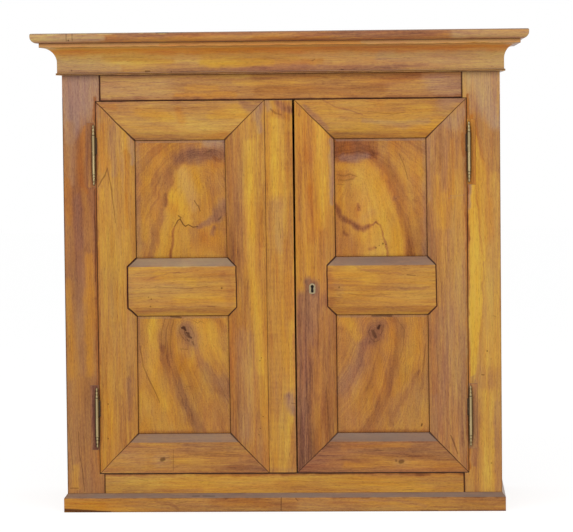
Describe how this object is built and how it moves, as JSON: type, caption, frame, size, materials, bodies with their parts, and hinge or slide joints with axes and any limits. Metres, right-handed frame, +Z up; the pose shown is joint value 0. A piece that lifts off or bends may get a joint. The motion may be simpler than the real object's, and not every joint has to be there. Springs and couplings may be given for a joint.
{
  "type": "kas cupboard",
  "caption": "Low walnut cupboard with a moulded cornice, framed and panelled sides, and hinged doors that lock over a closing strip and open on shelves.",
  "frame": {"origin": "on the floor, under the middle of the whole object's box, cornice included", "axes": "+Z up, +X to the right of someone facing the doors, -Y out of the front"},
  "size_m": [1.186, 0.518, 1.155],
  "materials": {
    "walnut": "waxed walnut, old",
    "pine": "unfinished aged softwood",
    "brass": "aged brass",
    "iron": "dark forged iron"
  },
  "bodies": {
    "case": {"left_front_stile": "walnut", "right_front_stile": "walnut", "frieze_rail": "walnut", "front_bottom_rail": "walnut", "hinge_patches": "walnut", "left_side_front_stile": "walnut", "left_side_back_stile": "walnut", "left_side_top_rail": "walnut", "left_side_middle_rail": "walnut", "left_side_bottom_rail": "walnut", "left_side_upper_panel": "walnut", "left_side_lower_panel": "walnut", "right_side_front_stile": "walnut", "right_side_back_stile": "walnut", "right_side_top_rail": "walnut", "right_side_middle_rail": "walnut", "right_side_bottom_rail": "walnut", "right_side_upper_panel": "walnut", "right_side_lower_panel": "walnut", "plinth_front": "walnut", "plinth_left": "walnut", "plinth_right": "walnut", "cove_front": "walnut", "cove_left": "walnut", "cove_right": "walnut", "crown_front": "walnut", "crown_left": "walnut", "crown_right": "walnut", "top_boards": "walnut", "back_rails": "pine", "back_boards": "pine", "bottom_boards": "pine", "ceiling_boards": "pine", "shelves": "pine", "shelf_cleats": "pine", "case_hinge_halves": "brass", "bolt_keepers": "iron"},
    "left_door": {"left_door_hinge_stile": "walnut", "left_door_meeting_stile": "walnut", "left_door_top_rail": "walnut", "left_door_middle_rail": "walnut", "left_door_bottom_rail": "walnut", "left_door_upper_panel": "walnut", "left_door_lower_panel": "walnut", "closing_strip": "walnut", "left_door_hinge_halves": "brass", "bolt_guides": "iron"},
    "right_door": {"right_door_hinge_stile": "walnut", "right_door_meeting_stile": "walnut", "right_door_top_rail": "walnut", "right_door_middle_rail": "walnut", "right_door_bottom_rail": "walnut", "right_door_upper_panel": "walnut", "right_door_lower_panel": "walnut", "right_door_hinge_halves": "brass", "lock_case": "iron", "escutcheon": "brass"},
    "lock_bolt": {"lock_bolt": "iron"},
    "top_bolt": {"top_bolt": "iron"},
    "bottom_bolt": {"bottom_bolt": "iron"}
  },
  "joints": [
    {"name": "left_door_hinge", "type": "hinge", "parent": "case", "child": "left_door", "pos_m": [-0.4505, -0.1962, 0], "axis": [0, 0, -1], "range_deg": [0, 175]},
    {"name": "right_door_hinge", "type": "hinge", "parent": "case", "child": "right_door", "pos_m": [0.4505, -0.1962, 0], "axis": [0, 0, 1], "range_deg": [0, 175]},
    {"name": "lock_slide", "type": "slide", "parent": "right_door", "child": "lock_bolt", "axis": [-1, 0, 0], "range_m": [0, 0.012]},
    {"name": "top_bolt_slide", "type": "slide", "parent": "left_door", "child": "top_bolt", "axis": [0, 0, 1], "range_m": [0, 0.014]},
    {"name": "bottom_bolt_slide", "type": "slide", "parent": "left_door", "child": "bottom_bolt", "axis": [0, 0, -1], "range_m": [0, 0.014]}
  ]
}
